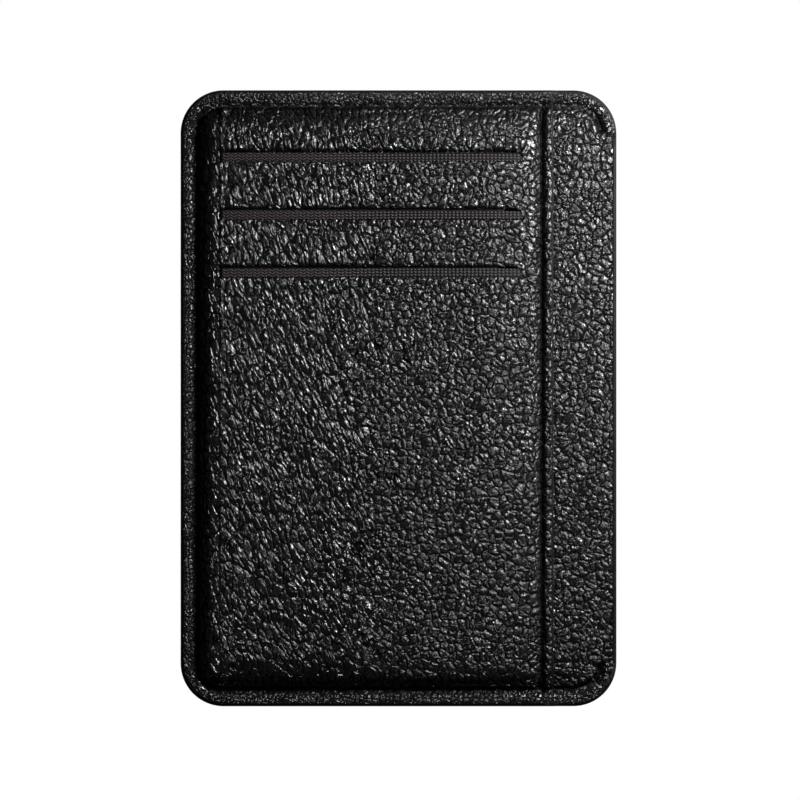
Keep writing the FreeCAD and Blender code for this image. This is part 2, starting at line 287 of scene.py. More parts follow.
class FrontForm:
    """Height of the front: rolled rim, sewn grooves, padded middle, slots and the plain strip."""

    left_slope = 5.4 * MM
    end_slope = 6.5 * MM
    seam_slope = 13.0 * MM
    slope_start = 3.6 * MM
    soft_share = 0.30
    end_curve = 1.4 * MM
    end_tail = 1.0 * MM
    end_drop = 0.93
    edge_fall = 0.30 * MM
    edge_fall_width = 0.55 * MM
    roll_height = 0.36 * MM
    roll_inset = 1.45 * MM
    roll_width = 0.85 * MM
    groove_shift = 0.15 * MM
    dome_ease = 0.2 * MM
    upper_round = 0.28 * MM
    upper_round_width = 0.30 * MM
    upper_swell = 0.06 * MM
    upper_swell_place = 0.8 * MM
    upper_swell_width = 0.6 * MM
    lower_round = 0.16 * MM
    lower_round_width = 0.25 * MM
    lower_step = 0.16 * MM
    lower_step_width = 3.2 * MM
    perimeter_stitch = 3.43 * MM
    panel_stitch = 4.05 * MM

    def __init__(self, sizes: HolderSizes, outline: Outline) -> None:
        """Keep the sizes and set both seams out in whole stitches.

        Args:
            sizes: The holder's sizes.
            outline: The outline that everything follows.
        """
        self.s = sizes
        self.outline = outline
        count = round(outline.seam_length() / self.perimeter_stitch)
        self.perimeter = SeamForm(outline.seam_length() / count)
        self.perimeter_count = count
        self.panel_half = sizes.half_height - sizes.seam_inset - 0.9 * MM
        self.panel_count = round(2 * self.panel_half / self.panel_stitch)
        panel_pitch = 2 * self.panel_half / self.panel_count
        self.panel = SeamForm(panel_pitch, width=0.58 * MM, depth=0.85 * MM)

    def rise(self, x: np.ndarray, y: np.ndarray, power: float) -> np.ndarray:
        """Share of the full rise, 0 at the perimeter groove and 1 in the middle.

        Args:
            x: Places across the holder.
            y: Places up the holder.
            power: How steeply the rise starts.

        Returns:
            The share at each place.
        """
        from_left = x + self.s.half_width - self.slope_start
        from_end = self.s.half_height - np.abs(y) - self.slope_start
        across, along = from_left / self.left_slope, from_end / self.end_slope
        soft_start = ease(across / self.soft_share) * ease(along / self.soft_share)
        return soft_start * round_over(across, power) * round_over(along, power)

    def rim(self, x: np.ndarray, y: np.ndarray) -> np.ndarray:
        """Rolled rim and the groove of the perimeter seam, as a height above the flat rim.

        Args:
            x: Places across the holder.
            y: Places up the holder.

        Returns:
            The height at each place.
        """
        d = self.outline.inset(x, y)
        sewn = self.outline.sewn(x, y)
        fall = -self.edge_fall * ridge(d, self.edge_fall_width)
        roll = self.roll_height * ridge(d - self.roll_inset, self.roll_width)
        seam = self.perimeter.height(d - self.s.seam_inset - self.groove_shift, self.outline.along(x, y))
        return fall + sewn * (roll + seam)

    def strip(self, x: np.ndarray, y: np.ndarray) -> np.ndarray:
        """Height of the base panel, of which the strip beside the slot panel is seen.

        Args:
            x: Places across the holder.
            y: Places up the holder.

        Returns:
            The height at each place.
        """
        rim_top = self.s.rim_top - self.s.leather
        z = rim_top + (self.s.strip_top - rim_top) * self.rise(x, y, 2.0) + self.rim(x, y)
        return z - 0.10 * MM * ridge(x - self.s.panel_edge, 0.7 * MM)

    def padding(self, x: np.ndarray, y: np.ndarray) -> np.ndarray:
        """Height of the slot panel without its rim, seams and slots.

        Args:
            x: Places across the holder.
            y: Places up the holder.

        Returns:
            The height at each place.
        """
        low = self.s.rim_top + (self.s.strip_top + self.s.leather - self.s.rim_top) * self.rise(x, y, 2.2)
        to_seam = (self.s.panel_seam - 0.3 * MM - x) / self.seam_slope
        full = self.s.dome_top - self.s.strip_top - self.s.leather - self.dome_ease
        return low + full * self.rise(x, y, 2.6) * round_over(to_seam, 2.2)

    def lip_drop(self, slot: Slot, x: float) -> float:
        """How far the upper lip has curved down towards the lower one, near the right-hand end.

        Args:
            slot: The card slot.
            x: Place across the holder.

        Returns:
            The drop, in metres.
        """
        bend = (x - slot.right + self.end_curve) / self.end_curve
        if bend <= 0:
            return 0.0
        if bend <= 1:
            return self.end_drop * self.s.slot_height * (1 - math.sqrt(1 - bend * bend))
        tail = max(0.0, 1 - (x - slot.right) / self.end_tail)
        return self.end_drop * self.s.slot_height * tail ** 2

    def lips(self, x: np.ndarray, y: np.ndarray) -> np.ndarray:
        """Rounded lips of the slots and the slight step up below each of them.

        Args:
            x: Places across the holder.
            y: Places up the holder.

        Returns:
            The height that the lips add.
        """
        total = np.zeros_like(x)
        for slot in self.s.slots:
            from_left = ease((x - slot.left + 2.6 * MM) / (4.0 * MM))
            from_right = ease((slot.right + 0.6 * MM - x) / (0.9 * MM))
            inside = from_left * from_right
            above = np.maximum(y - slot.high, 0.0)
            below = np.maximum(slot.low - y, 0.0)
            swell = self.upper_swell * ridge(above - self.upper_swell_place, self.upper_swell_width)
            upper_lip = -self.upper_round * ridge(above, self.upper_round_width) + swell
            step = self.lower_step * ridge(below, self.lower_step_width)
            lower_lip = -self.lower_round * ridge(below, self.lower_round_width) + step
            total += inside * np.where(y >= slot.high, upper_lip, 0.0)
            total += inside * np.where(y <= slot.low, lower_lip, 0.0)
        return total

    def between_seams(self, y: np.ndarray) -> np.ndarray:
        """1 between the upper and lower runs of the perimeter seam, falling to 0 at them."""
        return ease((self.s.half_height - self.s.seam_inset - np.abs(y)) / (0.8 * MM))

    def seam_shade(self, x: np.ndarray, y: np.ndarray) -> np.ndarray:
        """Share of painted shade along the seams, 1 in the middle of a groove: the finish paints the leather
        darker and without sheen there, and also makes it rougher.

        Args:
            x: Places across the holder.
            y: Places up the holder.

        Returns:
            The share at each place.
        """
        d = self.outline.inset(x, y)
        perimeter = ridge(d - self.s.seam_inset - 0.30 * MM, 0.36 * MM) * self.outline.sewn(x, y)
        beside_slots = ridge(x - self.s.panel_seam - 0.05 * MM, 0.55 * MM) * self.between_seams(y)
        return np.clip(1.25 * np.maximum(perimeter, beside_slots) - 0.15, 0.0, 0.97)

    def slot_panel(self, x: np.ndarray, y: np.ndarray) -> np.ndarray:
        """Full height of the slot panel's outer face.

        Args:
            x: Places across the holder.
            y: Places up the holder.

        Returns:
            The height at each place.
        """
        t = x - self.s.panel_seam
        z = self.padding(x, y) + self.rim(x, y) + self.lips(x, y)
        z += self.between_seams(y) * self.panel.height(t, y + self.panel_half)
        z += 0.14 * MM * ridge(t - 1.25 * MM, 0.6 * MM)
        return z - 0.22 * MM * ridge(x - self.s.panel_edge, 0.30 * MM)


class BackForm:
    """Height of the outer face of the back panel, which the holder lies on."""

    def __init__(self, front: FrontForm) -> None:
        """Share the front's outline and perimeter seam."""
        self.front = front

    def back_panel(self, x: np.ndarray, y: np.ndarray) -> np.ndarray:
        """Height of the back: flat, turned up at the outline and drawn in at the seam.

        Args:
            x: Places across the holder.
            y: Places up the holder.

        Returns:
            The height at each place.
        """
        outline = self.front.outline
        d = outline.inset(x, y)
        t = d - self.front.s.seam_inset
        groove = self.front.perimeter.height(t, outline.along(x, y)) * 0.8
        return 0.30 * MM * ridge(d, 0.6 * MM) - np.minimum(groove, 0.0) * outline.sewn(x, y)


# ---------------------------------------------------------------- mesh helpers

def graded(stops: list[float], steps: list[float]) -> np.ndarray:
    """Grid lines through every stop, with the wanted step between each pair.

    Args:
        stops: Places that a grid line must pass through, in rising order.
        steps: The widest step allowed between each stop and the next.

    Returns:
        All the grid lines, in rising order.
    """
    runs = []
    for start, end, step in zip(stops[:-1], stops[1:], steps, strict=True):
        count = max(1, math.ceil((end - start) / step - 1e-6))
        runs.append(np.linspace(start, end, count, endpoint=False))
    return np.concatenate(runs + [[stops[-1]]])


def finish_object(bm: bmesh.types.BMesh, name: str, material: bpy.types.Material) -> bpy.types.Object:
    """Turn a bmesh into a smooth object at the origin.

    Args:
        bm: The mesh, which is freed.
        name: The piece's name.
        material: Its finish.

    Returns:
        The new object.
    """
    mesh = bpy.data.meshes.new(name)
    bm.to_mesh(mesh)
    bm.free()
    mesh.materials.append(material)
    mesh.shade_smooth()
    piece = bpy.data.objects.new(name, mesh)
    bpy.context.scene.collection.objects.link(piece)
    return piece


def dress(piece: bpy.types.Object, slot: str, *nodes: str) -> None:
    """Ride a piece on the body and let it stand for its nodes.

    Args:
        piece: The piece to dress.
        slot: Name of its material slot; not used.
        *nodes: The frame's nodes that it stands for.
    """
    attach(piece, BODY)
    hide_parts(*nodes)
    LOG.info("%s: %d faces, stands for %s", piece.name, len(piece.data.polygons), ", ".join(nodes))


def line_grid(xs: np.ndarray, ys: np.ndarray, bend: Callable | None = None) -> bmesh.types.BMesh:
    """A flat grid with the given lines.

    Args:
        xs: Grid lines across the holder.
        ys: Grid lines up the holder.
        bend: Moves the points to an outline, where the sheet is no plain rectangle.

    Returns:
        The new grid.
    """
    nx, ny = len(xs) - 1, len(ys) - 1
    bm = bmesh.new()
    bmesh.ops.create_grid(bm, x_segments=nx, y_segments=ny, size=0.5)
    co = np.array([v.co[:2] for v in bm.verts])
    x = xs[np.rint((co[:, 0] + 0.5) * nx).astype(int)]
    y = ys[np.rint((co[:, 1] + 0.5) * ny).astype(int)]
    if bend is not None:
        x, y = bend(x, y)
    for vert, px, py in zip(bm.verts, x, y):
        vert.co = (px, py, 0.0)
    return bm


def lift(bm: bmesh.types.BMesh, height: Surface) -> None:
    """Move every point of a flat mesh to the height of a surface.

    Args:
        bm: The mesh.
        height: Height of the surface over the holder.
    """
    co = np.array([v.co[:2] for v in bm.verts])
    for vert, z in zip(bm.verts, height(co[:, 0], co[:, 1])):
        vert.co.z = z


def thicken(piece: bpy.types.Object, thickness: float) -> None:
    """Give a sheet its thickness, to the back of its faces.

    Args:
        piece: The piece to dress or change.
        thickness: Thickness of the sheet.
    """
    solid = piece.modifiers.new("thickness", "SOLIDIFY")
    solid.thickness = thickness
    solid.offset = -1.0


def start_section(bm: bmesh.types.BMesh, points: list[tuple[float, float, float]]) -> list:
    """Lay a closed section and fill it as the first end of a band.

    Args:
        bm: The mesh to add to.
        points: Corners of the section, in order.

    Returns:
        The section's edges.
    """
    verts = [bm.verts.new(point) for point in points]
    edges = [bm.edges.new((a, b)) for a, b in zip(verts, verts[1:] + verts[:1])]
    bmesh.ops.holes_fill(bm, edges=edges, sides=0)
    return edges


def carry(bm: bmesh.types.BMesh, edges: list, step: tuple | Vector, count: int) -> list:
    """Carry a section along a straight stretch in equal steps.

    Args:
        bm: The mesh that holds the section.
        edges: The section's edges.
        step: The move of one step.
        count: How many steps to take.

    Returns:
        The edges of the section at the far end.
    """
    for _ in range(count):
        grown = bmesh.ops.extrude_edge_only(bm, edges=edges)["geom"]
        verts = [g for g in grown if isinstance(g, bmesh.types.BMVert)]
        edges = [g for g in grown if isinstance(g, bmesh.types.BMEdge)]
        bmesh.ops.translate(bm, verts=verts, vec=step)
    return edges


class Sheet:
    """A leather sheet as a fine grid that follows the rounded outline and is moved to its height."""

    margin = 0.35 * MM

    def __init__(self, outline: Outline) -> None:
        """Keep the outline that the sheet is cut to."""
        self.outline = outline

    def edge_lines(self) -> tuple[list[float], list[float]]:
        """Stops and steps of the grid lines from the outline inwards, close together at the seam."""
        stops = [self.margin, 1.0 * MM, 2.2 * MM, 3.9 * MM, self.outline.s.corner_radius]
        return stops, [0.22 * MM, 0.30 * MM, 0.155 * MM, 0.42 * MM]

    def lines(self, half: float, stops: list[float], steps: list[float], both: bool = True) -> np.ndarray:
        """Grid lines across the sheet.

        Args:
            half: Half the sheet's size in this direction.
            stops: Stops between the two corner zones.
            steps: The widest step from one stop to the next, first corner zone to last.
            both: False where the sheet ends at the last stop, short of the far corners.

        Returns:
            All the grid lines.
        """
        edge, edge_steps = self.edge_lines()
        near = [e - half for e in edge]
        far = [half - e for e in reversed(edge)] if both else []
        every = near + stops + far
        all_steps = edge_steps + steps + (list(reversed(edge_steps)) if both else [])
        return graded(every, all_steps)

    def round_corners(self, x: np.ndarray, y: np.ndarray) -> tuple[np.ndarray, np.ndarray]:
        """Draw the square corners of a grid round, so that its lines follow the outline.

        Args:
            x: Places across the holder.
            y: Places up the holder.

        Returns:
            The moved x and y.
        """
        r, cx, cy = self.outline.s.corner_radius, self.outline.cx, self.outline.cy
        u = (np.abs(x) - cx) / r
        v = (np.abs(y) - cy) / r
        corner = (u > TINY) & (v > TINY)
        reach = np.maximum(u, v)
        share = np.minimum(u, v) / np.maximum(reach, TINY)
        turn = np.where(u >= v, math.pi / 4 * share, math.pi / 2 - math.pi / 4 * share)
        round_x = np.sign(x) * (cx + r * reach * np.cos(turn))
        round_y = np.sign(y) * (cy + r * reach * np.sin(turn))
        return np.where(corner, round_x, x), np.where(corner, round_y, y)

    def mark_seam_shade(self, piece: bpy.types.Object, share: Surface) -> None:
        """Store on every point its share of painted shade along the seams.

        Args:
            piece: The piece to dress or change.
            share: Share of painted shade along the seams at each place.
        """
        co = np.empty(3 * len(piece.data.vertices))
        piece.data.vertices.foreach_get("co", co)
        values = share(co[0::3], co[1::3])
        attribute = piece.data.attributes.new("seam_shade", "FLOAT", "POINT")
        attribute.data.foreach_set("value", values.astype(np.float32))

    def finish(self, bm: bmesh.types.BMesh, name: str, node: str, rests_on: str, width: float, corners: int,
               seam_shade: Surface, material: bpy.types.Material) -> bpy.types.Object:
        """Args:
            bm: The lifted grid, which is freed.
            name: The piece's name.
            node: The node that the piece stands for.
            rests_on: Name of what it lies on; not used.
            width: Flat width of the cut; not used.
            corners: How many of its corners are round; not used.
            seam_shade: Share of painted shade along the seams.
            material: Its finish.

        Returns:
            The new panel.
        """
        piece = finish_object(bm, name, material)
        self.mark_seam_shade(piece, seam_shade)
        thicken(piece, self.outline.s.leather)
        dress(piece, "black_leather", node)
        return piece


# ---------------------------------------------------------------- finishes

class NodeBench:
    """Short calls for laying out a node tree."""

    def __init__(self, tree: bpy.types.NodeTree) -> None:
        """Start on an empty tree."""
        self.tree = tree
        tree.nodes.clear()

    def add(self, kind: str, inputs: dict | None = None, **settings) -> bpy.types.Node:
        """Add a node.

        Args:
            kind: The node's type name, without the ShaderNode prefix unless it is a group node.
            inputs: Values, or output sockets to link, by input name or number.
            **settings: Attributes of the node.

        Returns:
            The new node.
        """
        node = self.tree.nodes.new(kind if kind.startswith("NodeGroup") else "ShaderNode" + kind)
        for key, value in settings.items():
            setattr(node, key, value)
        for key, value in (inputs or {}).items():
            self.join(value, node.inputs[key])
        return node

    def join(self, value: Value, socket: bpy.types.NodeSocket) -> None:
        """Link an output socket to an input, or set the input to a plain value.

        Args:
            value: Value or output socket.
            socket: The input to fill.
        """
        if isinstance(value, bpy.types.NodeSocket):
            self.tree.links.new(value, socket)
        else:
            socket.default_value = value

    def math(self, operation: str, *values: Value) -> bpy.types.NodeSocket:
        """Add a Math node and return its result."""
        return self.add("Math", dict(enumerate(values)), operation=operation).outputs[0]

    def vector(self, operation: str, *values: Value) -> bpy.types.NodeSocket:
        """Add a Vector Math node and return its vector."""
        return self.add("VectorMath", dict(enumerate(values)), operation=operation).outputs[0]

    def scaled(self, place: Value, factor: Value) -> bpy.types.NodeSocket:
        """Scale places by a factor."""
        return self.add("VectorMath", {0: place, "Scale": factor}, operation="SCALE").outputs[0]

    def bump(self, height: Value, distance: float, strength: float = 1.0) -> bpy.types.NodeSocket:
        """Add a Bump node and return its normal."""
        inputs = {"Strength": strength, "Distance": distance, "Height": height}
        return self.add("Bump", inputs).outputs[0]

    def noise(self, place: Value, scale: float, detail: float,
              roughness: float = 0.5) -> bpy.types.NodeSocket:
        """Add a flat Noise Texture and return its value."""
        inputs = {"Vector": place, "Scale": scale, "Detail": detail, "Roughness": roughness}
        return self.add("TexNoise", inputs, noise_dimensions="2D").outputs[0]

    def drift(self, place: Value, scale: float, amount: float) -> bpy.types.NodeSocket:
        """Push places about by a noise, by up to about half the amount each way.

        Args:
            place: Places on the piece.
            scale: Density of the pattern.
            amount: Length of the push.

        Returns:
            The pushed places.
        """
        inputs = {"Vector": place, "Scale": scale, "Detail": 2.0}
        wave = self.add("TexNoise", inputs, noise_dimensions="2D")
        push = self.vector("SUBTRACT", wave.outputs["Color"], (0.5, 0.5, 0.5))
        return self.vector("MULTIPLY_ADD", push, (amount, amount, 0.0), place)

    def voronoi(self, place: Value, scale: float, randomness: float, feature: str) -> bpy.types.Node:
        """Add a flat Voronoi Texture with one of its features."""
        inputs = {"Vector": place, "Scale": scale, "Randomness": randomness}
        return self.add("TexVoronoi", inputs, voronoi_dimensions="2D", feature=feature)

    def blend(self, share: Value, first: Value, second: Value, colour: bool = False) -> bpy.types.NodeSocket:
        """Mix two values, or two colours, by a share.

        Args:
            share: Share of the second value, or of the effect.
            first: Value at a share of 0.
            second: Value at a share of 1.
            colour: True to mix colours.

        Returns:
            The mixed value.
        """
        if colour:
            return self.add("Mix", {0: share, 6: first, 7: second}, data_type="RGBA").outputs[2]
        return self.add("Mix", {0: share, 2: first, 3: second}).outputs[0]

    def spread(self, value: Value, low: Value, high: Value, to_low: float = 0.0, to_high: float = 1.0,
               smooth: bool = True) -> bpy.types.NodeSocket:
        """Map a range of a value to another range, held at both ends.

        Args:
            value: Value or output socket.
            low: Low end of the range.
            high: High end of the range.
            to_low: Result at the low end.
            to_high: Result at the high end.
            smooth: True for a soft change.

        Returns:
            The new value.
        """
        kind = "SMOOTHSTEP" if smooth else "LINEAR"
        inputs = {"Value": value, "From Min": low, "From Max": high, "To Min": to_low, "To Max": to_high}
        return self.add("MapRange", inputs, interpolation_type=kind).outputs[0]


def group_tree(name: str, inputs: dict[str, str], outputs: dict[str, str]) -> bpy.types.NodeTree:
    """A new shader node group with named sockets.

    Args:
        name: The group's name.
        inputs: Socket name to socket type.
        outputs: Socket name to socket type.

    Returns:
        The empty group.
    """
    tree = bpy.data.node_groups.new(name, "ShaderNodeTree")
    for socket, kind in inputs.items():
        tree.interface.new_socket(socket, in_out="INPUT", socket_type="NodeSocket" + kind)
    for socket, kind in outputs.items():
        tree.interface.new_socket(socket, in_out="OUTPUT", socket_type="NodeSocket" + kind)
    return tree


def pebble_grain_group() -> bpy.types.NodeTree:
    """Pebbled leather grain: domed pebbles, each with its own height and tilt, between deep creases.

    Returns:
        The group.
    """
    inputs = {"Place": "Vector", "Density": "Float", "Shoulder": "Float", "Wrinkle": "Float"}
    tree = group_tree("pebble_grain", inputs, {"Height": "Float", "CreaseShade": "Float", "Tone": "Float"})
    bench = NodeBench(tree)
    enter = tree.nodes.new("NodeGroupInput")
    leave = tree.nodes.new("NodeGroupOutput")
    scaled = bench.scaled(enter.outputs["Place"], enter.outputs["Density"])
    drifted = bench.drift(scaled, 0.45, 1.3)
    pushed = bench.drift(drifted, 2.6, 0.42)
    unevenness, own_height, own_tilt, bevel_power, bevel_height = 0.88, 0.22, 0.75, 1.4, 0.64
    cells = bench.voronoi(pushed, 1.0, unevenness, "DISTANCE_TO_EDGE").outputs["Distance"]
    nearest = bench.voronoi(pushed, 1.0, unevenness, "F1")
    small_cells = bench.voronoi(pushed, 2.7, 1.0, "DISTANCE_TO_EDGE").outputs["Distance"]
    ripple = bench.noise(scaled, 3.4, 1.5, 0.55)
    slope = bench.math("SUBTRACT", 1.0, bench.spread(cells, 0.02, enter.outputs["Shoulder"], smooth=False))
    dome = bench.math("SUBTRACT", 1.0, bench.math("POWER", slope, bevel_power))
    own = bench.vector("SUBTRACT", nearest.outputs["Color"], (0.5, 0.5, 0.5))
    reach = bench.vector("SUBTRACT", pushed, nearest.outputs["Position"])
    tilt = bench.add("VectorMath", {0: own, 1: reach}, operation="DOT_PRODUCT").outputs["Value"]
    tone = bench.add("SeparateColor", {0: nearest.outputs["Color"]}).outputs[2]
    level = bench.math("MULTIPLY_ADD", tone, own_height, bench.math("MULTIPLY", dome, bevel_height))
    level = bench.math("MULTIPLY_ADD", tilt, own_tilt, level)
    level = bench.math("MULTIPLY_ADD", bench.spread(small_cells, 0.0, 0.14), 0.10, level)
    level = bench.math("MULTIPLY_ADD", ripple, enter.outputs["Wrinkle"], level)
    bench.join(level, leave.inputs["Height"])
    # CreaseShade is 1 in the cracks between pebbles: used for painted shade there, and for rougher cracks.
    bench.join(bench.spread(cells, 0.025, 0.115, 1.0, 0.0), leave.inputs["CreaseShade"])
    bench.join(tone, leave.inputs["Tone"])
    return tree


def fine_dust_group() -> bpy.types.NodeTree:
    """Very fine unevenness of a surface, for roughness and a last touch of relief.

    Returns:
        The group.
    """
    tree = group_tree("fine_unevenness", {"Place": "Vector", "Density": "Float"}, {"Mask": "Float"})
    bench = NodeBench(tree)
    enter = tree.nodes.new("NodeGroupInput")
    leave = tree.nodes.new("NodeGroupOutput")
    scaled = bench.scaled(enter.outputs["Place"], enter.outputs["Density"])
    inputs = {"Vector": scaled, "Scale": 1.0, "Detail": 4.0, "Roughness": 0.65}
    noise = bench.add("TexNoise", inputs).outputs[0]
    bench.join(bench.spread(noise, 0.3, 0.7), leave.inputs["Mask"])
    return tree


class Finish:
    """Base of every finish: makes a material once, with its own node layout."""

    name = "finish"

    def material(self) -> bpy.types.Material:
        """Make the material and lay out its nodes.

        Returns:
            The new material.
        """
        material = bpy.data.materials.new(self.name)
        material.use_nodes = True
        bench = NodeBench(material.node_tree)
        shader = bench.add("BsdfPrincipled")
        out = bench.add("OutputMaterial")
        bench.join(shader.outputs[0], out.inputs["Surface"])
        place = bench.add("TexCoord").outputs["Object"]
        self.lay_out(bench, shader, place)
        return material

    def dust_mask(self, bench: NodeBench, place: Value, density: float) -> bpy.types.NodeSocket:
        """Place the group of fine unevenness and return its mask."""
        return bench.add("Group", {"Place": place, "Density": density}, node_tree=self.dust).outputs["Mask"]

    def lay_out(self, bench: NodeBench, shader: bpy.types.Node, place: bpy.types.NodeSocket) -> None:
        """Fill in the finish's own nodes."""
        raise NotImplementedError


@dataclass(frozen=True)
class PebbledLeather(Finish):
    """Black pebbled leather with polished pebbles and rougher creases; the creases and seam grooves get
    painted shade.
    """

    grain: bpy.types.NodeTree
    dust: bpy.types.NodeTree
    name: str = "pebbled_black_leather"
    density: float = 660.0
    relief: float = 0.40 * MM
    turn: float = -0.30
    length: float = 0.50
    change_from: float = -7.0 * MM
    change_to: float = -4.0 * MM
    rim_density: float = 1080.0
    rim_x: float = 37.4 * MM
    rim_y: float = 54.15 * MM
    rim_blend: float = 0.1 * MM
    long_packing: float = 1.10
    patch_scale: float = 160.0
    patch_reach: float = 0.036
    dust_density: float = 9000.0
    dust_relief: float = 0.008
    dark_pebble: tuple = (0.0016, 0.0016, 0.0017, 1)
    light_pebble: tuple = (0.0036, 0.0036, 0.0038, 1)
    # Painted shade in the creases: a darker colour, and mostly metallic so that the near-black creases lose
    # their sheen.
    crease_shade_colour: tuple = (0.0015, 0.0015, 0.0015, 1)
    crease_shade_metal: float = 0.92
    crease_dullness: float = 0.35
    gloss: float = 0.6

    def pebbles(self, bench: NodeBench, place: Value, density: Value, shoulder: float,
                wrinkle: float) -> bpy.types.Node:
        """Add one field of pebbles with bevelled shoulders and wrinkled tops."""
        inputs = {"Place": place, "Density": density, "Shoulder": shoulder, "Wrinkle": wrinkle}
        return bench.add("Group", inputs, node_tree=self.grain)

    def rim_mask(self, bench: NodeBench, place: Value) -> bpy.types.NodeSocket:
        """1 on the rim outside the perimeter seam, where the grain is pressed finer.

        Args:
            bench: Bench of the tree being laid out.
            place: Places on the piece.

        Returns:
            The mask's output.
        """
        parts = bench.add("SeparateXYZ", {0: place})
        past_x = bench.math("SUBTRACT", -self.rim_x, parts.outputs[0])
        past_y = bench.math("SUBTRACT", bench.math("ABSOLUTE", parts.outputs[1]), self.rim_y)
        past = bench.math("MAXIMUM", past_x, past_y)
        return bench.spread(past, -self.rim_blend, self.rim_blend, smooth=False)

    def lay_out(self, bench: NodeBench, shader: bpy.types.Node, place: bpy.types.NodeSocket) -> None:
        """Pebbles are drawn out and lean over towards the sewn side, and are round near the open one.

        Args:
            bench: Bench of the tree being laid out.
            shader: The material's main shader.
            place: Places on the piece.
        """
        x = bench.add("SeparateXYZ", {0: place}).outputs[0]
        turned = bench.add("VectorRotate", {"Vector": place, "Angle": self.turn}, rotation_type="Z_AXIS")
        drawn = bench.vector("MULTIPLY", turned.outputs[0], (1.05, self.length, 1.0))
        rim = self.rim_mask(bench, place)
        long_grain = self.pebbles(bench, drawn, self.density * self.long_packing, 0.27, 0.10)
        density = bench.blend(rim, self.density, self.rim_density)
        round_grain = self.pebbles(bench, place, density, 0.30, 0.15)
        patches = bench.noise(place, self.patch_scale, 2.0)
        centred = bench.math("ADD", x, -self.patch_reach / 2)
        edge = bench.math("MULTIPLY_ADD", patches, self.patch_reach, centred)
        share = bench.math("MAXIMUM", bench.spread(edge, self.change_from, self.change_to), rim)
        both = {key: bench.blend(share, long_grain.outputs[key], round_grain.outputs[key])
                for key in ("Height", "CreaseShade", "Tone")}
        # Painted shade along the seam grooves, read from the mesh: it joins the crease mask, so it darkens
        # the leather there and takes its sheen away.
        seam_shade = bench.add("Attribute", attribute_name="seam_shade").outputs["Fac"]
        both["CreaseShade"] = bench.math("MAXIMUM", both["CreaseShade"], seam_shade)
        dust = self.dust_mask(bench, place, self.dust_density)
        body = bench.blend(both["Tone"], self.dark_pebble, self.light_pebble, colour=True)
        # Painted shade in the creases and seam grooves: a darker colour, and metallic with a near-black
        # colour so they show no sheen.
        colour = bench.blend(both["CreaseShade"], body, self.crease_shade_colour, colour=True)
        bench.join(colour, shader.inputs["Base Color"])
        bench.join(bench.math("MULTIPLY", both["CreaseShade"], self.crease_shade_metal), shader.inputs["Metallic"])
        polish = bench.blend(share, 0.14, 0.20)
        rough = bench.math("MULTIPLY_ADD", both["CreaseShade"], self.crease_dullness, polish)
        rough = bench.math("MULTIPLY_ADD", dust, bench.blend(share, 0.06, 0.12), rough)
        bench.join(rough, shader.inputs["Roughness"])
        height = bench.math("MULTIPLY_ADD", dust, self.dust_relief, both["Height"])
        bench.join(bench.bump(height, self.relief), shader.inputs["Normal"])
        shader.inputs["Specular IOR Level"].default_value = self.gloss


@dataclass(frozen=True)
class EdgePaint(Finish):
    """Smooth satin black paint on the cut edges."""

    dust: bpy.types.NodeTree
    name: str = "black_edge_paint"
    density: float = 1400.0
    relief: float = 0.04 * MM
    dark: tuple = (0.003, 0.003, 0.0032, 1)
    light: tuple = (0.006, 0.006, 0.0062, 1)

    def lay_out(self, bench: NodeBench, shader: bpy.types.Node, place: bpy.types.NodeSocket) -> None:
        """Slow waves from the brush, and fine dust in the roughness.

        Args:
            bench: Bench of the tree being laid out.
            shader: The material's main shader.
            place: Places on the piece.
        """
        mask = self.dust_mask(bench, place, self.density)
        bench.join(bench.blend(mask, self.dark, self.light, colour=True), shader.inputs["Base Color"])
        bench.join(bench.math("MULTIPLY_ADD", mask, 0.12, 0.50), shader.inputs["Roughness"])
        bench.join(bench.bump(mask, self.relief, 0.5), shader.inputs["Normal"])
        shader.inputs["Specular IOR Level"].default_value = 0.06


@dataclass(frozen=True)
class GrosgrainRibbon(Finish):
    """Brown-black ribbon woven in rows of small chevrons."""

    name: str = "woven_slot_ribbon"
    row: float = 0.53 * MM
    period: float = 1.42 * MM
    change_from: float = -22.0 * MM
    change_to: float = 8.0 * MM
    relief: float = 0.22 * MM
    gap: tuple = (0.0009, 0.0008, 0.0008, 1)
    yarn: tuple = (0.042, 0.0345, 0.0337, 1)

    def lay_out(self, bench: NodeBench, shader: bpy.types.Node, place: bpy.types.NodeSocket) -> None:
        """Rows of yarn that rise and fall along the ribbon, with gaps between them.

        Args:
            bench: Bench of the tree being laid out.
            shader: The material's main shader.
            place: Places on the piece.
        """
        parts = bench.add("SeparateXYZ", {0: place})
        x, y = parts.outputs[0], parts.outputs[1]
        swing = bench.math("PINGPONG", x, self.period / 2)
        share = bench.spread(x, self.change_from, self.change_to)
        rows = bench.math("MULTIPLY_ADD", swing, bench.blend(share, 0.62, 0.12), y)
        wave = bench.math("SINE", bench.math("MULTIPLY", rows, 2 * math.pi / self.row))
        yarn = bench.spread(wave, -0.9, 0.9)
        across = bench.math("SINE", bench.math("MULTIPLY", x, 4 * math.pi / self.period))
        depth = bench.blend(share, 0.16, 0.48)
        dots = bench.math("MULTIPLY_ADD", across, depth, bench.math("SUBTRACT", 1.0, depth))
        lit = bench.math("MULTIPLY", yarn, dots)
        noise = bench.add("TexNoise", {"Vector": place, "Scale": 9000.0, "Detail": 2.0}).outputs[0]
        height = bench.math("MULTIPLY_ADD", noise, 0.04, lit)
        bench.join(bench.blend(lit, self.gap, self.yarn, colour=True), shader.inputs["Base Color"])
        bench.join(bench.bump(height, self.relief), shader.inputs["Normal"])
        shader.inputs["Roughness"].default_value = 0.62
        shader.inputs["Specular IOR Level"].default_value = 0.12


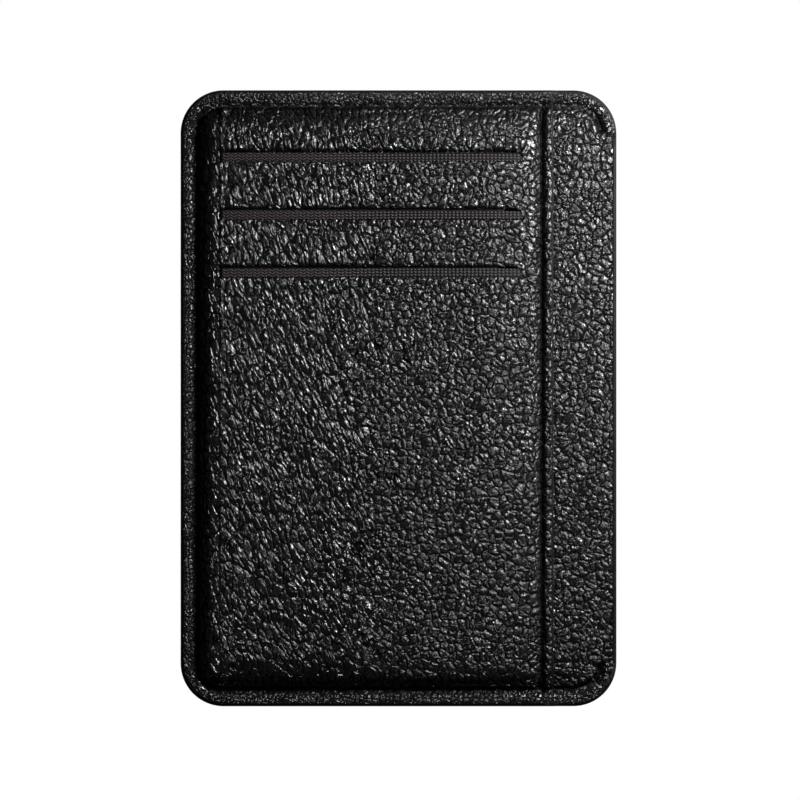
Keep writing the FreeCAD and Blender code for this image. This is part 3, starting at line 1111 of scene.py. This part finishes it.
@dataclass(frozen=True)
class WaxedThread(Finish):
    """Black twisted sewing thread with a little wax."""

    name: str = "black_waxed_thread"
    ply: float = 0.42 * MM
    relief: float = 0.08 * MM
    dark: tuple = (0.001, 0.001, 0.001, 1)
    light: tuple = (0.005, 0.005, 0.005, 1)

    def lay_out(self, bench: NodeBench, shader: bpy.types.Node, place: bpy.types.NodeSocket) -> None:
        """Slanting plies of the twist.

        Args:
            bench: Bench of the tree being laid out.
            shader: The material's main shader.
            place: Places on the piece.
        """
        parts = bench.add("SeparateXYZ", {0: place})
        slant = bench.math("ADD", parts.outputs[0], parts.outputs[1])
        plies = bench.math("SINE", bench.math("MULTIPLY", slant, 2 * math.pi / self.ply))
        mask = bench.spread(plies, -1.0, 1.0)
        bench.join(bench.blend(mask, self.dark, self.light, colour=True), shader.inputs["Base Color"])
        bench.join(bench.bump(mask, self.relief, 0.8), shader.inputs["Normal"])
        shader.inputs["Roughness"].default_value = 0.75
        shader.inputs["Specular IOR Level"].default_value = 0.08


@dataclass(frozen=True)
class WovenLining(Finish):
    """Fine plain-woven black lining."""

    name: str = "woven_lining"
    yarn: float = 0.24 * MM
    relief: float = 0.05 * MM
    dark: tuple = (0.008, 0.008, 0.009, 1)
    light: tuple = (0.026, 0.026, 0.028, 1)

    def lay_out(self, bench: NodeBench, shader: bpy.types.Node, place: bpy.types.NodeSocket) -> None:
        """Warp and weft that pass over each other.

        Args:
            bench: Bench of the tree being laid out.
            shader: The material's main shader.
            place: Places on the piece.
        """
        parts = bench.add("SeparateXYZ", {0: place})
        warp = bench.math("SINE", bench.math("MULTIPLY", parts.outputs[0], 2 * math.pi / self.yarn))
        weft = bench.math("SINE", bench.math("MULTIPLY", parts.outputs[1], 2 * math.pi / self.yarn))
        mask = bench.spread(bench.math("MULTIPLY", warp, weft), -1.0, 1.0)
        bench.join(bench.blend(mask, self.dark, self.light, colour=True), shader.inputs["Base Color"])
        bench.join(bench.bump(mask, self.relief, 0.6), shader.inputs["Normal"])
        shader.inputs["Roughness"].default_value = 0.7


@dataclass(frozen=True)
class FibreBoard(Finish):
    """Brown bonded fibre board, as glued between leather and lining."""

    dust: bpy.types.NodeTree
    name: str = "fibre_board"
    density: float = 2500.0
    dark: tuple = (0.09, 0.07, 0.05, 1)
    light: tuple = (0.15, 0.12, 0.09, 1)

    def lay_out(self, bench: NodeBench, shader: bpy.types.Node, place: bpy.types.NodeSocket) -> None:
        """Matted fibres.

        Args:
            bench: Bench of the tree being laid out.
            shader: The material's main shader.
            place: Places on the piece.
        """
        mask = self.dust_mask(bench, place, self.density)
        bench.join(bench.blend(mask, self.dark, self.light, colour=True), shader.inputs["Base Color"])
        shader.inputs["Roughness"].default_value = 0.85


# ---------------------------------------------------------------- leather panels

@dataclass
class SlotPanel:
    """Front leather with three card slots, domed over the pockets and sewn down beside them."""

    sizes: HolderSizes
    form: FrontForm
    sheet: Sheet

    def grid_lines(self) -> tuple[np.ndarray, np.ndarray]:
        """Grid lines that pass through the ends and lips of the slots and close up at the seam.

        Returns:
            The lines across and the lines up.
        """
        s = self.sizes
        right_slot = s.slots[0].right
        stops = [s.slots[0].left, right_slot - 2.4 * MM, right_slot, s.panel_seam - 1.2 * MM,
                 s.panel_edge - 0.32 * MM]
        steps = [0.45 * MM, 0.60 * MM, 0.20 * MM, 0.35 * MM, 0.17 * MM]
        xs = self.sheet.lines(s.half_width, stops, steps, both=False)
        stops_y, steps_y = [], []
        wide, fine = 0.55 * MM, 0.16 * MM
        for slot in reversed(s.slots):
            stops_y += [slot.low - 1.0 * MM, slot.low, slot.high, slot.high + 1.0 * MM]
            steps_y += [wide, fine, 0.5 * MM, fine]
        ys = self.sheet.lines(s.half_height, stops_y, steps_y + [wide])
        return xs, ys

    def cut_slots(self, bm: bmesh.types.BMesh) -> None:
        """Open the slots and curve their upper lips down at the right-hand end.

        Args:
            bm: The mesh.
        """
        tiny = 0.01 * MM
        gone = []
        for slot in self.sizes.slots:
            for face in bm.faces:
                c = face.calc_center_median()
                if slot.low < c.y < slot.high and slot.left - tiny < c.x < slot.right + tiny:
                    gone.append(face)
        bmesh.ops.delete(bm, geom=gone, context="FACES")
        for slot in self.sizes.slots:
            for vert in bm.verts:
                x, y = vert.co.x, vert.co.y
                drop = self.form.lip_drop(slot, x)
                if y < slot.low or drop <= 0:
                    continue
                if y < slot.high:
                    vert.co.y -= drop * (y - slot.low) / self.sizes.slot_height
                else:
                    near = max(1 - (y - slot.high) / (2.8 * MM), 0.0)
                    vert.co.y -= drop * near * near

    def build(self, material: bpy.types.Material) -> bpy.types.Object:
        """Make the panel.

        Args:
            material: The piece's finish.

        Returns:
            The new piece.
        """
        bm = line_grid(*self.grid_lines(), self.sheet.round_corners)
        self.cut_slots(bm)
        lift(bm, self.form.slot_panel)
        width = self.sizes.half_width + self.sizes.panel_edge
        return self.sheet.finish(bm, "slot_panel_leather", "slot_panel", "base_panel_leather", width, 2,
                                 self.form.seam_shade, material)


@dataclass
class BasePanel:
    """Leather under the slot panel, seen as the plain strip beside the open edge."""

    sizes: HolderSizes
    form: FrontForm
    sheet: Sheet

    def build(self, material: bpy.types.Material) -> bpy.types.Object:
        """Make the panel, fine where it shows and coarse where it is covered.

        Args:
            material: The piece's finish.

        Returns:
            The new piece.
        """
        s = self.sizes
        stops = [s.panel_seam, s.panel_edge + 1.2 * MM]
        xs = self.sheet.lines(s.half_width, stops, [3.0 * MM, 0.3 * MM, 0.5 * MM])
        ys = self.sheet.lines(s.half_height, [], [0.6 * MM])
        bm = line_grid(xs, ys, self.sheet.round_corners)
        lift(bm, self.form.strip)
        return self.sheet.finish(bm, "base_panel_leather", "base_panel", "front_stiffener",
                                 2 * s.half_width, 4, self.form.seam_shade, material)


@dataclass
class BackPanel:
    """Plain back leather that the holder lies on."""

    sizes: HolderSizes
    form: BackForm
    sheet: Sheet

    def build(self, material: bpy.types.Material) -> bpy.types.Object:
        """Make the panel, with its outer face down.

        Args:
            material: The piece's finish.

        Returns:
            The new piece.
        """
        s = self.sizes
        xs = self.sheet.lines(s.half_width, [], [1.0 * MM])
        ys = self.sheet.lines(s.half_height, [], [0.6 * MM])
        bm = line_grid(xs, ys, self.sheet.round_corners)
        lift(bm, self.form.back_panel)
        bmesh.ops.reverse_faces(bm, faces=bm.faces)
        return self.sheet.finish(bm, "back_panel_leather", "back_panel", "back_stiffener",
                                 2 * s.half_width, 4, self.form.front.seam_shade, material)


@dataclass
class SlotRibbon:
    """Woven ribbon behind the lower lip of one slot, seen through the slot."""

    sizes: HolderSizes
    form: FrontForm
    slot: Slot
    thickness: float = 0.2 * MM
    width: float = 7.0 * MM
    clearance: float = 0.12 * MM

    def height(self, x: np.ndarray, y: np.ndarray) -> np.ndarray:
        """Height of the ribbon: up in the slot, and under the leather on all other sides.

        Args:
            x: Places across the holder.
            y: Places up the holder.

        Returns:
            The height at each place.
        """
        slot, s = self.slot, self.sizes
        under = s.leather + self.clearance
        top = slot.high - s.mouth
        lip = np.array([slot.high - self.form.lip_drop(slot, px) for px in x])
        lip = np.where(x > slot.right, slot.low, lip)
        shown = ease((x - slot.left + 0.1 * MM) / (0.5 * MM)) * ease((lip + 0.1 * MM - y) / (0.3 * MM))
        shown = shown * (y > slot.low)
        up = (y - slot.low) / (top - slot.low)
        seen_depth = 0.10 * MM + 0.16 * MM * up + 0.18 * MM * ridge(y - top, 0.14 * MM)
        return self.form.padding(x, y) - (under + (seen_depth - under) * shown)

    def build(self, material: bpy.types.Material) -> bpy.types.Object:
        """Make the ribbon, with close grid lines at the lips of its slot.

        Args:
            material: The piece's finish.

        Returns:
            The new piece.
        """
        slot, s = self.slot, self.sizes
        top = slot.high - s.mouth
        fold = 0.06 * MM
        xs = graded([slot.left - s.ribbon_lap, slot.left, slot.left + 1.0 * MM, slot.right - 2.6 * MM,
                     slot.right + s.ribbon_lap], [0.4 * MM, 0.2 * MM, 0.7 * MM, 0.25 * MM])
        ys = graded([top - self.width, slot.low - fold, slot.low + fold, top - 0.25 * MM, top],
                    [0.8 * MM, 0.12 * MM, 0.24 * MM, 0.08 * MM])
        bm = line_grid(xs, ys)
        lift(bm, self.height)
        piece = finish_object(bm, "slot_ribbon_" + slot.name + "_weave", material)
        thicken(piece, self.thickness)
        dress(piece, "slot_ribbon", "slot_ribbon_" + slot.name)
        return piece


# ---------------------------------------------------------------- painted edges

class EdgeRun(Enum):
    """Which stretch of the outline a painted edge covers."""

    SEWN = "sewn"
    OPEN = "open"


@dataclass
class PaintedEdge:
    """A band of edge paint: a rounded section swept along the outline."""

    sizes: HolderSizes
    outline: Outline
    name: str
    node: str
    run: EdgeRun
    bottom: float
    top: float
    lap: float

    def section(self) -> list[tuple[float, float]]:
        """Points of the section as inset from the outline and height, from the bottom lap to the top one.

        Returns:
            The points in order.
        """
        height = self.top - self.bottom
        rounding = min(0.65 * MM, 0.42 * height)
        steps = 6
        turns = [math.pi / 2 * i / steps for i in range(steps + 1)]
        round_lap = self.lap * 0.75
        points = [(self.lap, self.bottom + 0.02 * MM)]
        for turn in turns:
            points.append((round_lap * (1 - math.sin(turn)), self.bottom + rounding * (1 - math.cos(turn))))
        for turn in turns:
            points.append((round_lap * (1 - math.cos(turn)), self.top - rounding * (1 - math.sin(turn))))
        points.append((self.lap, self.top - 0.03 * MM))
        points.append((self.lap, self.top - 0.5 * height))
        return points

    def sweep(self, bm: bmesh.types.BMesh) -> None:
        """Sweep the closed section along its stretch of the outline.

        Args:
            bm: The mesh.
        """
        s = self.sizes
        x0, y0 = s.half_width, s.seam_end
        end_steps, side_steps = 160, 24
        edges = start_section(bm, [(x0 - inset, y0, z) for inset, z in self.section()])
        if self.run is EdgeRun.OPEN:
            carry(bm, edges, Vector((0, -2 * y0, 0)) / side_steps, side_steps)
            return
        cx, cy = self.outline.cx, self.outline.cy
        legs = [((cx, cy), Vector((-2 * cx, 0, 0)) / end_steps, end_steps),
                ((-cx, cy), Vector((0, -2 * cy, 0)) / side_steps, side_steps),
                ((-cx, -cy), Vector((2 * cx, 0, 0)) / end_steps, end_steps),
                ((cx, -cy), Vector(), 0)]
        for centre, step, count in legs:
            turned = bmesh.ops.spin(bm, geom=edges, cent=(*centre, 0), axis=(0, 0, 1), angle=math.pi / 2,
                                    steps=28, use_duplicate=False)
            edges = [e for e in turned["geom_last"] if isinstance(e, bmesh.types.BMEdge)]
            edges = carry(bm, edges, step, count)
        bmesh.ops.holes_fill(bm, edges=edges, sides=0)

    def build(self, material: bpy.types.Material) -> bpy.types.Object:
        """Make the band, thinner where only the base panel is under it.

        Args:
            material: The piece's finish.

        Returns:
            The new piece.
        """
        bm = bmesh.new()
        self.sweep(bm)
        if self.run is EdgeRun.SEWN:
            for vert in bm.verts:
                thin = float(ease((vert.co.x - self.sizes.panel_edge + 0.3 * MM) / (0.9 * MM)))
                vert.co.z *= 1 - thin * self.sizes.leather / self.sizes.rim_top
        bmesh.ops.remove_doubles(bm, verts=bm.verts, dist=0.0005 * MM)
        bmesh.ops.recalc_face_normals(bm, faces=bm.faces)
        piece = finish_object(bm, self.name, material)
        dress(piece, "edge_paint", self.node)
        return piece


@dataclass
class PanelEdge:
    """Paint along the slot panel's own edge, beside the plain strip."""

    sizes: HolderSizes
    form: FrontForm
    width: float = 0.50 * MM

    def build(self, material: bpy.types.Material) -> bpy.types.Object:
        """Make a narrow band that follows the panel's edge from the top to the bottom.

        Args:
            material: The piece's finish.

        Returns:
            The new piece.
        """
        s = self.sizes
        x1 = s.panel_edge
        half = s.half_height - 1.05 * MM
        section = [(x1 - self.width, -0.06 * MM), (x1 - 0.20 * MM, -0.12 * MM),
                   (x1 - 0.06 * MM, -0.26 * MM), (x1, -0.46 * MM),
                   (x1, -s.leather), (x1 - self.width, -s.leather)]
        steps = 220
        bm = bmesh.new()
        edges = start_section(bm, [(x, -half, dz) for x, dz in section])
        edges = carry(bm, edges, (0, 2 * half / steps, 0), steps)
        bmesh.ops.holes_fill(bm, edges=edges, sides=0)
        y = np.array([v.co.y for v in bm.verts])
        base = self.form.slot_panel(np.full_like(y, x1 - self.width), y)
        for vert, z in zip(bm.verts, base):
            vert.co.z += z
        bmesh.ops.recalc_face_normals(bm, faces=bm.faces)
        piece = finish_object(bm, "slot_panel_edge_band", material)
        dress(piece, "edge_paint", "slot_panel_edge_paint")
        return piece


# ---------------------------------------------------------------- stitches

@dataclass
class StitchRow:
    """One visible row of stitches: short plump bars of thread that dive into their holes."""

    name: str
    node: str
    places: list[StitchPlace]
    length: float
    width: float = 0.52 * MM
    height: float = 0.40 * MM

    def build(self, material: bpy.types.Material) -> bpy.types.Object:
        """Make every stitch of the row as a separate closed shape in one mesh.

        Args:
            material: The piece's finish.

        Returns:
            The new piece.
        """
        size = Matrix.Diagonal((self.width, self.height, self.length, 1.0))
        lay = Matrix.Rotation(math.pi / 2, 4, "Y")
        flat = Matrix.Rotation(math.pi / 2, 4, "Z")
        bm = bmesh.new()
        for x, y, z, heading in self.places:
            made = bmesh.ops.create_uvsphere(bm, u_segments=8, v_segments=6, radius=0.5)["verts"]
            turn = Matrix.Rotation(heading, 4, "Z")
            put = Matrix.Translation((x, y, z)) @ turn @ lay @ flat @ size
            bmesh.ops.transform(bm, matrix=put, verts=made)
        piece = finish_object(bm, self.name, material)
        dress(piece, "black_thread", self.node)
        return piece


@dataclass
class Stitching:
    """All four rows of stitches of the two seams."""

    sizes: HolderSizes
    form: FrontForm
    back: BackForm
    share: float = 0.84
    sunk: float = 0.10 * MM
    inside_height: float = 0.2 * MM

    def perimeter(self, face: str) -> list[StitchPlace]:
        """Places of the perimeter seam's stitches on one face.

        Args:
            face: Which face of the holder the stitches show on.

        Returns:
            x, y, z and heading of every stitch.
        """
        outline, seam = self.form.outline, self.form.perimeter
        places = []
        for i in range(self.form.perimeter_count):
            x, y, heading = outline.seam_point((i + 0.5) * seam.pitch)
            px, py = np.array([x]), np.array([y])
            if face == "back":
                z = float(self.back.back_panel(px, py)[0]) - 0.02 * MM
            elif x < self.sizes.panel_edge:
                z = float(self.form.slot_panel(px, py)[0]) - self.sunk
            else:
                z = float(self.form.strip(px, py)[0]) - self.sunk
            places.append((x, y, z, heading))
        return places

    def panel_seam(self, face: str) -> list[StitchPlace]:
        """Places of the stitches beside the slots, on the front or inside the centre pocket.

        Args:
            face: Which face of the holder the stitches show on.

        Returns:
            x, y, z and heading of every stitch.
        """
        seam, half = self.form.panel, self.form.panel_half
        x = self.sizes.panel_seam
        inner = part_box("panel_seam_back_thread")
        places = []
        for i in range(self.form.panel_count):
            y = (i + 0.5) * seam.pitch - half
            if face == "front":
                z = float(self.form.slot_panel(np.array([x]), np.array([y]))[0]) - self.sunk
            elif abs(y) > inner[1][1]:
                continue
            else:
                z = (inner[0][2] + inner[1][2]) / 2
            places.append((x, y, z, math.pi / 2))
        return places

    def build(self, material: bpy.types.Material) -> None:
        """Make the four rows.

        Args:
            material: The piece's finish.
        """
        long_stitch = self.form.perimeter.pitch * self.share
        panel_stitch = self.form.panel.pitch * self.share
        StitchRow("perimeter_stitches_front", "perimeter_front_thread", self.perimeter("front"),
                  long_stitch).build(material)
        StitchRow("perimeter_stitches_back", "perimeter_back_thread", self.perimeter("back"),
                  long_stitch).build(material)
        StitchRow("panel_stitches_front", "panel_seam_front_thread", self.panel_seam("front"),
                  panel_stitch).build(material)
        StitchRow("panel_stitches_inside", "panel_seam_back_thread", self.panel_seam("inside"),
                  panel_stitch, height=self.inside_height).build(material)


# ---------------------------------------------------------------- studio

@dataclass
class Studio:
    """White floor, one large soft light close by on the upper right, and a camera straight above."""

    frame_width: float = 148.9 * MM
    distance: float = 1.5
    shift_x: float = 0.28 * MM
    shift_y: float = -0.32 * MM
    sensor: float = 36.0
    floor_gap: float = 0.05 * MM
    floor_half: float = 3.0
    glow: float = 0.022

    def seen_or_lit(self, bench: NodeBench, lit: Value, seen: Value) -> bpy.types.NodeSocket:
        """Mix two shaders: one that lights the holder and one that the camera sees."""
        camera_ray = bench.add("LightPath").outputs["Is Camera Ray"]
        return bench.add("MixShader", {0: camera_ray, 1: lit, 2: seen}).outputs[0]

    def floor(self) -> None:
        """A wide plain pale floor."""
        bm = bmesh.new()
        bmesh.ops.create_grid(bm, x_segments=1, y_segments=1, size=self.floor_half)
        bmesh.ops.translate(bm, verts=bm.verts, vec=(0, 0, -self.floor_gap))
        material = bpy.data.materials.new("white_floor")
        material.use_nodes = True
        bench = NodeBench(material.node_tree)
        paper = bench.add("BsdfPrincipled", {"Base Color": (0.35, 0.35, 0.35, 1), "Roughness": 0.9})
        bright = bench.add("Emission", {0: WHITE, 1: 1.0})
        mixed = self.seen_or_lit(bench, paper.outputs[0], bright.outputs[0])
        bench.add("OutputMaterial", {"Surface": mixed})
        floor = finish_object(bm, "floor", material)
        floor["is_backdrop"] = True

    def light(self, name: str, place: tuple, size: float, watts: float) -> None:
        """Hang one square soft light, turned to the holder's middle.

        Args:
            name: Name of the new object.
            place: Where the lamp hangs.
            size: Side of the lamp.
            watts: Power of the lamp.
        """
        data = bpy.data.lights.new(name, "AREA")
        data.shape = "SQUARE"
        data.size = size
        data.energy = watts
        lamp = bpy.data.objects.new(name, data)
        lamp.location = place
        lamp.rotation_mode = "QUATERNION"
        lamp.rotation_quaternion = (Vector() - Vector(place)).to_track_quat("-Z", "Y")
        bpy.context.scene.collection.objects.link(lamp)

    def surroundings(self) -> None:
        """Plain white surroundings that light the holder only a little."""
        world = bpy.data.worlds.new("studio")
        world.use_nodes = True
        bench = NodeBench(world.node_tree)
        seen = bench.add("Background", {0: WHITE, 1: 1.0}).outputs[0]
        glow = bench.add("Background", {0: WHITE, 1: self.glow}).outputs[0]
        bench.add("OutputWorld", {"Surface": self.seen_or_lit(bench, glow, seen)})
        bpy.context.scene.world = world

    def camera(self) -> None:
        """A long lens straight above the holder."""
        data = bpy.data.cameras.new("camera")
        data.sensor_width = self.sensor
        data.lens = self.sensor * self.distance / self.frame_width
        data.clip_start = 0.1
        data.clip_end = 10.0
        camera = bpy.data.objects.new("camera", data)
        camera.location = (self.shift_x, self.shift_y, self.distance)
        bpy.context.scene.collection.objects.link(camera)
        bpy.context.scene.camera = camera

    def build(self) -> None:
        """Set up the floor, lights, surroundings and camera."""
        self.camera()
        self.floor()
        self.surroundings()
        self.light("key_light", (0.100, 0.070, 0.080), 0.056, 0.72)
        self.light("fill_light", (-0.25, -0.05, 0.45), 0.30, 0.05)
        bpy.context.scene.view_settings.view_transform = "Standard"


# ---------------------------------------------------------------- assembly

class CardHolder:
    """The whole holder, from the back leather to the threads."""

    def __init__(self) -> None:
        """Read the sizes and make the finishes."""
        self.sizes = HolderSizes()
        self.outline = Outline(self.sizes)
        self.form = FrontForm(self.sizes, self.outline)
        self.back_form = BackForm(self.form)
        dust = fine_dust_group()
        self.leather = PebbledLeather(pebble_grain_group(), dust).material()
        self.paint = EdgePaint(dust).material()
        self.ribbon = GrosgrainRibbon().material()
        self.thread = WaxedThread().material()
        self.lining = WovenLining().material()
        self.board = FibreBoard(dust).material()

    def panels(self) -> None:
        """Make the three leather panels and the ribbons."""
        sheet = Sheet(self.outline)
        SlotPanel(self.sizes, self.form, sheet).build(self.leather)
        BasePanel(self.sizes, self.form, sheet).build(self.leather)
        BackPanel(self.sizes, self.back_form, sheet).build(self.leather)
        for slot in self.sizes.slots:
            SlotRibbon(self.sizes, self.form, slot).build(self.ribbon)

    def edges(self) -> None:
        """Make the painted edges."""
        s = self.sizes
        sewn_lap, mouth_lap = 0.95 * MM, 0.70 * MM
        PaintedEdge(s, self.outline, "sewn_edge_band", "sewn_edge_paint", EdgeRun.SEWN, 0.0, s.rim_top,
                    sewn_lap).build(self.paint)
        for leaf in ("back", "front"):
            low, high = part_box("mouth_edge_paint_" + leaf)
            PaintedEdge(s, self.outline, "mouth_edge_band_" + leaf, "mouth_edge_paint_" + leaf, EdgeRun.OPEN,
                        low[2], high[2], mouth_lap).build(self.paint)
        PanelEdge(s, self.form).build(self.paint)

    def inner_pieces(self) -> None:
        """Dress the linings, pocket walls and boards that the frame already shapes."""
        dressed = {
            self.lining: ("back_lining", "inner_lining", "slot_pocket_upper", "slot_pocket_middle",
                          "slot_pocket_lower"),
            self.board: ("back_stiffener", "front_stiffener"),
        }
        for material, nodes in dressed.items():
            for node in nodes:
                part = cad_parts[node]
                for slot in part.material_slots:
                    slot.material = material
                LOG.info("%s: dressed in %s", node, material.name)

    def build(self) -> None:
        """Make and dress every piece."""
        self.panels()
        self.edges()
        Stitching(self.sizes, self.form, self.back_form).build(self.thread)
        self.inner_pieces()


def main() -> None:
    """Build the holder and its studio."""
    logging.basicConfig(level=logging.INFO, format="%(name)s: %(message)s")
    Studio().build()
    CardHolder().build()


if __name__ == "__main__":
    main()
